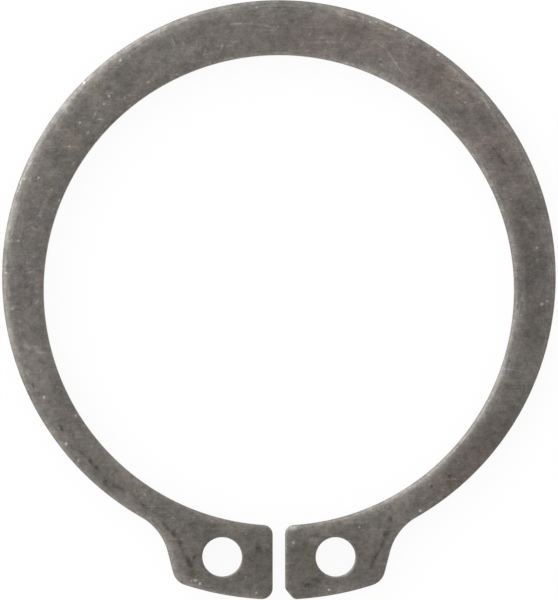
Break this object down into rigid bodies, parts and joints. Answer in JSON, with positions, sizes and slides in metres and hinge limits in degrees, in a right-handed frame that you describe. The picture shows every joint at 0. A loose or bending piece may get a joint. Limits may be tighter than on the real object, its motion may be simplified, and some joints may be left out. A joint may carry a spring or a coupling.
{
  "type": "external retaining ring",
  "caption": "Flat open spring-steel ring with a tapering beam and pierced lugs at the gap; it snaps into a shaft groove and keeps parts from sliding along the shaft.",
  "frame": {"origin": "centre of the bore on the lower, sheared face", "axes": "+Z along the bore axis and up through the thickness, with the rolled face up; +Y from the gap to the back of the ring; the lugs lie at -Y"},
  "size_m": [0.0348, 0.0376, 0.0015],
  "materials": {
    "phosphated_spring_steel": "dark warm grey phosphate and oil over hardened spring steel, satin, with soft rolled edges"
  },
  "bodies": {
    "root": {"retaining_ring": "phosphated_spring_steel"}
  },
  "joints": []
}
